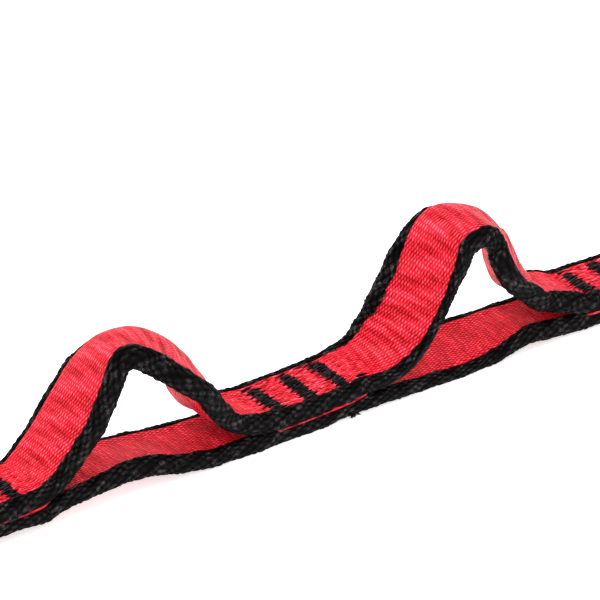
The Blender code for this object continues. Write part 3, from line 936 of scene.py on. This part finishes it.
def loose_threads(seed, count, middle, spread, length, rise, cloth=None):
    """Short ends of sewing thread lying beside each other: each is a low arch, its middle and its
    direction shaken about those given. Given a cloth's points, each place of a thread stands over
    the highest of those near it."""
    rng = np.random.default_rng(seed)
    start = np.array(middle) + rng.uniform(-1, 1, (count, 3)) * spread
    turn = rng.uniform(-0.5, 0.5, count)[:, None]
    t = np.linspace(-0.5, 0.5, LOOSE_PLACES)[None, :]
    reach = length * rng.uniform(0.7, 1.2, count)[:, None] * t
    bow = rise * np.cos(math.pi * t) + 0 * turn
    points = start[:, None] + np.stack([reach * np.cos(turn), reach * np.sin(turn), bow], axis=-1)
    if cloth is not None:
        away = np.linalg.norm(points[:, :, None, :2] - cloth[:, :2], axis=-1)
        points[..., 2] = bow + np.where(away < ON_CLOTH, cloth[:, 2], -np.inf).max(axis=-1)
    radius = LOOSE_RADIUS * np.clip(1.25 - (2 * t) ** 4, 0.25, 1) + 0 * turn
    return thread(points, radius)


# Building the chain

red = red_woven_nylon()
black = black_plaited_nylon()
thread_black = black_bonded_thread()


def dress(name, path, nodes, seed, flange_of,
          ends=(False, False), fine=False, tuck=(0, 0), tall=0, tables=None):
    """One stretch of strap, its red field and its two selvedges.
    A pocket's limbs are shaped by tuck, and its near selvedge by tall and tables."""
    field_path = sampled(path, FIELD_STEP)
    cord_path = sampled(path, FINE_CORD_STEP if fine else CORD_STEP)
    is_upper = name.startswith("upper")

    def shape(at):
        """How full the strap is, and how far its field swells over the far selvedge: by the
        limb's tuck, and by a share that wanders where the strap is flat."""
        length = at[:, 4]
        full = fullness(at, LAP_Z if name == "clip_loop" else UPPER_Z)
        limb = np.interp(length, (0.40 * length[-1], 0.52 * length[-1]), tuck)
        low = 0.7 + 0.3 * slow_noise(length, 7 * seed) * window(length, WANDER_FADE)
        if name.endswith("loop"):
            low -= 0.45 * window(length, LOOP_FADE)
        if is_upper:
            low -= 0.55 * tall * hill(past_station(at), 16, 8)
        return full, full * limb + (1 - full) * low

    def turned(at):
        """The long loop's upper end runs away from its station, so its outward side is below."""
        return near_start(at) * (name == "girth_loop")

    facing = 1 - 2 * turned(cord_path)
    full, pressed = shape(cord_path)
    cords = [
        selvedge(cord_path, side, 10 * seed + side, full, pressed, ends, fine, tall, tables, facing)
        for side in (1, -1)
    ]
    inner_tuck = np.maximum(turned(field_path), float(is_upper))
    cloth = field(field_path, seed, flange_of(field_path), *shape(field_path), ends, inner_tuck)
    pieces = [
        make_object(f"red_field_{name}", cloth, red),
        make_object(f"black_selvedges_{name}", joined(cords), black),
    ]
    for piece in pieces:
        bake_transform(piece)
        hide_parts(*nodes)


def upper_flange(path):
    """The red strip shows between the two layers over a station, and hides beside it."""
    from_station = (path[:, 0] - FIRST_STATION + PITCH / 2) % PITCH - PITCH / 2
    t = np.minimum((from_station + 13.0) / 2.5, (19.5 - from_station) / 6.0)
    # At the first station it begins in the middle, where the long loop ends
    return smooth_step(np.minimum(t, (path[:, 0] - FIRST_STATION) / 2.5))


def no_flange(path):
    """No red strip: the lower layers and the loops."""
    return 0 * path[:, 0]


def body_before(k):
    """The body that holds the station before pocket k."""
    return "station_1" if k == 0 else f"pocket_{k}"


for k in range(POCKETS):
    in_view = k in PHOTO_POCKETS
    last = k == POCKETS - 1
    tall = POCKET_VARIATION[k][0]
    dress(f"upper_{k + 1}", upper_path(k), [f"pocket_web_{k + 1}"], 11 + k,
          upper_flange, ends=(False, last), fine=in_view, tuck=POCKET_TUCK[k], tall=tall,
          tables=UPPER_SWELLS)
    dress(f"lower_{k + 1}", lower_path(k), [f"base_web_{k + 1}"], 31 + k,
          no_flange, fine=in_view, tall=tall, tables=LOWER_SWELLS)

# The long loop's upper end runs the other way, so outward and inward change places
dress("girth_loop", girth_path(),
      ["girth_hitch_loop", "station_1_upper", "station_1_lower"], 51, no_flange,
      tables=[pair[::-1] for pair in UPPER_SWELLS])
dress("clip_loop", clip_path(),
      ["clip_loop_web", "lap_end"], 52, no_flange, ends=(False, True))

# The photographed station's last bar leaves a tuft of thread under the near selvedge
tuft = loose_threads(61, 6, (STATIONS[PHOTO_STATION] + 10.4, -8.9, 0.75), (1.1, 0.3, 0.3), 2.6, 0.3)
for station in range(POCKETS + 1):
    top_z = LAP_Z if station == POCKETS else UPPER_Z
    for letter, step in zip("abc", TACK_STEPS):
        bar = bartack(station, step, top_z)
        if (station, step) == (PHOTO_STATION, TACK_STEPS[-1]):
            bar = joined([bar, tuft])
        tack = make_object(f"stitched_bar_{station + 1}_{letter}", bar, thread_black)
        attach(tack, body_before(station))
        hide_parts(f"bartack_{station + 1}_{letter}")


# A stray stitch on the red, where the strap starts to bend up into the sixth pocket. It lies on
# the points of the field within 5 mm of its middle.
field_points = np.array([v.co for v in bpy.data.objects["red_field_upper_6"].data.vertices]) / MM
stray_middle = (STATIONS[PHOTO_STATION] + 15.2, -5.9, 0.0)
near_stray = np.linalg.norm(field_points[:, :2] - stray_middle[:2], axis=1) < 5
stray_threads = loose_threads(
    62, 4, stray_middle, (0.9, 0.4, 0.0), 2.4, 0.12, field_points[near_stray]
)
stray = make_object("stray_stitch", stray_threads, thread_black)
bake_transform(stray)


# Camera, from the photograph: it looks at the sixth station from the left front and above. The
# pixel shows the known place, given along from the station, across and up.
AZIMUTH = math.radians(-34.302)
ELEVATION = math.radians(31.585)
PIXELS_PER_MM = 4.164
STATION_PIXEL = (310.83, 397.66)
KNOWN_PLACE = (4.2, 0.0, 3.6)
PHOTO_SIZE = 600
SENSOR_WIDTH = 36.0
DISTANCE = 1515.0

# The studio, in metres: half the floor's side, and each soft box's name, place, size and power
FLOOR_REACH = 6
SOFT_BOXES = (
    ("top_soft_box", (-0.25, 0.1, 1.3), 1.2, 4.5),
    ("front_soft_box", (-0.9, -1.3, 0.9), 0.9, 3.5),
    ("back_soft_box", (-0.6, 1.2, 0.9), 0.9, 8),
)


def place_camera():
    """The photograph's camera, as fitted: far away, with a long lens."""
    right = np.array([math.cos(AZIMUTH), math.sin(AZIMUTH), 0.0])
    back = np.array([
        math.sin(AZIMUTH) * math.cos(ELEVATION), -math.cos(AZIMUTH) * math.cos(ELEVATION),
        math.sin(ELEVATION),
    ])
    up = np.cross(back, right)
    along, across, height = KNOWN_PLACE
    known = np.array([STATIONS[PHOTO_STATION] + along, across, height])
    centre = (known + right * (PHOTO_SIZE / 2 - STATION_PIXEL[0]) / PIXELS_PER_MM
              + up * (STATION_PIXEL[1] - PHOTO_SIZE / 2) / PIXELS_PER_MM)
    data = bpy.data.cameras.new("camera")
    data.sensor_width = SENSOR_WIDTH
    data.lens = SENSOR_WIDTH * DISTANCE * PIXELS_PER_MM / PHOTO_SIZE
    data.clip_start, data.clip_end = 0.05, 50.0
    camera = new_object("camera", data)
    turn = Matrix((right, up, back)).transposed().to_4x4()
    camera.matrix_world = Matrix.Translation(Vector((centre + back * DISTANCE) * MM)) @ turn
    bpy.context.scene.camera = camera


def area_light(name, place, size, power):
    """A square soft box, pointing at the middle of the chain."""
    data = bpy.data.lights.new(name, "AREA")
    data.shape = "SQUARE"
    data.size = size
    data.energy = power
    light = new_object(name, data)
    light.location = place
    light.rotation_euler = (Vector((0, 0, 0)) - Vector(place)).to_track_quat("-Z", "Y").to_euler()


def mixed_shader(tree, first, second):
    """The first shader, and the second for rays that see the background: those from the camera,
    by a reflection or through something clear."""
    path = add(tree, "ShaderNodeLightPath").outputs
    seen = calculate(tree, "MAXIMUM", path["Is Camera Ray"], path["Is Glossy Ray"])
    seen = calculate(tree, "MAXIMUM", seen, path["Is Transmission Ray"])
    inputs = {0: seen, 1: first.outputs[0], 2: second.outputs[0]}
    return add(tree, "ShaderNodeMixShader", inputs).outputs[0]


def studio():
    """A white floor that keeps the shadow, a white surround, and three soft boxes."""
    white_light = linear("#FFFFFF")
    world = bpy.data.worlds.new("studio")
    bpy.context.scene.world = world
    world.use_nodes = True
    tree = world.node_tree
    tree.nodes.clear()
    bright = add(tree, "ShaderNodeBackground", {"Color": white_light, "Strength": 1.52})
    white = add(tree, "ShaderNodeBackground", {"Color": white_light, "Strength": 1.0})
    add(tree, "ShaderNodeOutputWorld", {"Surface": mixed_shader(tree, bright, white)})

    floor_material, tree, shader = new_material("white_paper_floor")
    tree.nodes.remove(shader)
    paper = add(tree, "ShaderNodeBsdfDiffuse", {"Color": linear("#F2F2F2")})
    glow = add(tree, "ShaderNodeEmission", {"Color": white_light, "Strength": 0.55})
    both = add(tree, "ShaderNodeAddShader", {0: paper.outputs[0], 1: glow.outputs[0]})
    output = next(n for n in tree.nodes if n.type == "OUTPUT_MATERIAL")
    tree.links.new(mixed_shader(tree, paper, both), output.inputs["Surface"])
    mesh = bpy.data.meshes.new("floor")
    r = FLOOR_REACH
    mesh.from_pydata([(-r, -r, 0), (r, -r, 0), (r, r, 0), (-r, r, 0)], [], [(0, 1, 2, 3)])
    mesh.materials.append(floor_material)
    floor = new_object("floor", mesh)

    for box in SOFT_BOXES:
        area_light(*box)


place_camera()
studio()
bpy.context.scene.view_settings.view_transform = "Standard"
